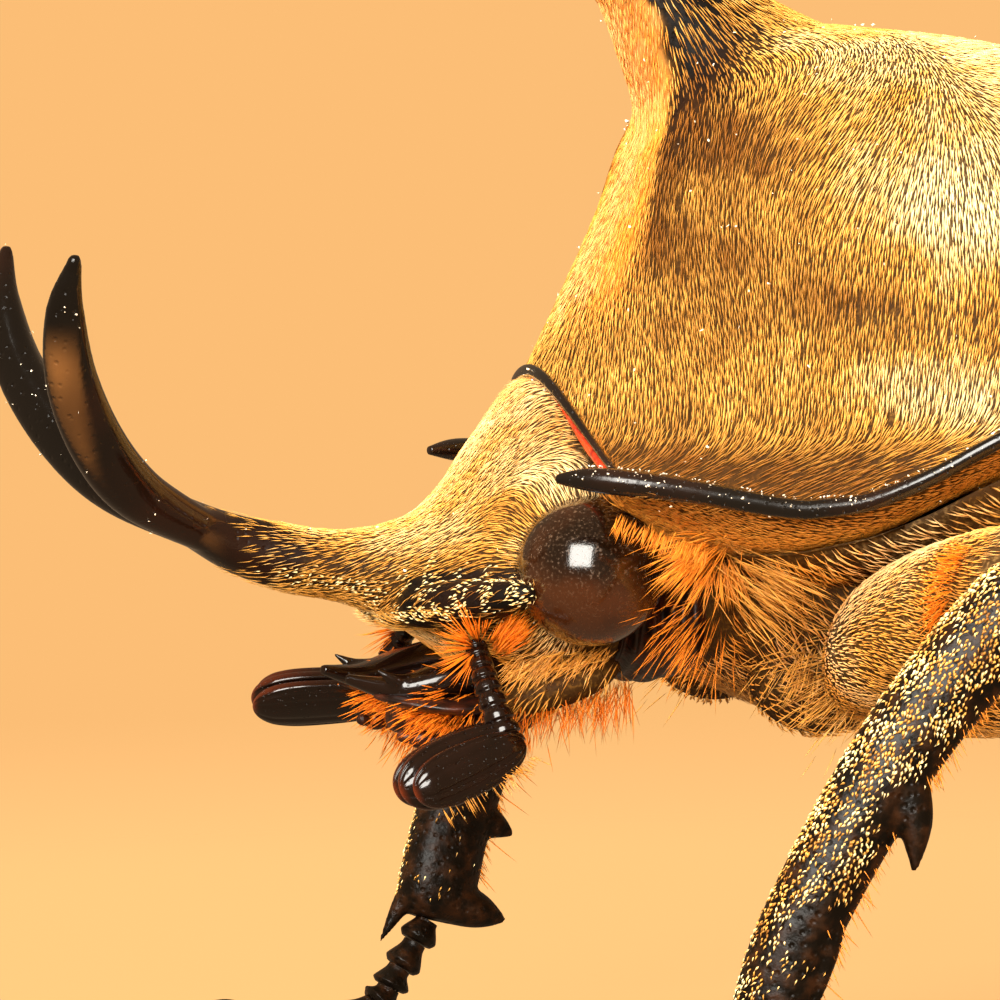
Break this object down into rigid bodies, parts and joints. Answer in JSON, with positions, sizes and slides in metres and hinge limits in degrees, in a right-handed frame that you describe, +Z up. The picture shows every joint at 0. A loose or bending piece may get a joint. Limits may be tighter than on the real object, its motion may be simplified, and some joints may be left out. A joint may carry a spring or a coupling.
{
  "type": "rhinoceros beetle",
  "caption": "Male rhinoceros beetle with a forked head horn, a horned shield and a short golden coat, standing on all its legs as a still museum model.",
  "frame": {"origin": "on the floor under the middle of the whole beetle's box", "axes": "+Z up, the beetle faces -X, its left side is at -Y"},
  "size_m": [0.0864, 0.0758, 0.0411],
  "materials": {
    "coat": "short golden velvet lying flat over dark shell",
    "horn": "bare polished black-brown shell",
    "leg": "glossy black shell with scattered golden hairs",
    "eye": "wet-looking dark brown",
    "antenna": "polished dark red-brown",
    "mouth": "dark brown skin with orange bristles"
  },
  "bodies": {
    "root": {"head": "coat", "pronotum": "coat", "prosternum": "coat", "metasternum": "coat", "abdomen": "coat", "pygidium": "coat", "scutellum": "coat", "elytron_left": "coat", "elytron_right": "coat", "coxa_fore_left": "coat", "coxa_fore_right": "coat", "coxa_mid_left": "coat", "coxa_mid_right": "coat", "coxa_hind_left": "coat", "coxa_hind_right": "coat", "femur_fore_left": "coat", "femur_fore_right": "coat", "femur_mid_left": "coat", "femur_mid_right": "coat", "femur_hind_left": "coat", "femur_hind_right": "coat", "horn_stem": "horn", "horn_tine_left": "horn", "horn_tine_right": "horn", "crest_horn": "horn", "corner_horn_left": "horn", "corner_horn_right": "horn", "mandible_left": "horn", "mandible_right": "horn", "claws_fore_left": "horn", "claws_fore_right": "horn", "claws_mid_left": "horn", "claws_mid_right": "horn", "claws_hind_left": "horn", "claws_hind_right": "horn", "tibia_fore_left": "leg", "tibia_fore_right": "leg", "tibia_mid_left": "leg", "tibia_mid_right": "leg", "tibia_hind_left": "leg", "tibia_hind_right": "leg", "tarsus_fore_left": "leg", "tarsus_fore_right": "leg", "tarsus_mid_left": "leg", "tarsus_mid_right": "leg", "tarsus_hind_left": "leg", "tarsus_hind_right": "leg", "eye_left": "eye", "eye_right": "eye", "antenna_stalk_left": "antenna", "antenna_stalk_right": "antenna", "antenna_club_left": "antenna", "antenna_club_right": "antenna", "neck": "mouth", "labium": "mouth", "maxilla_left": "mouth", "maxilla_right": "mouth"}
  },
  "joints": []
}
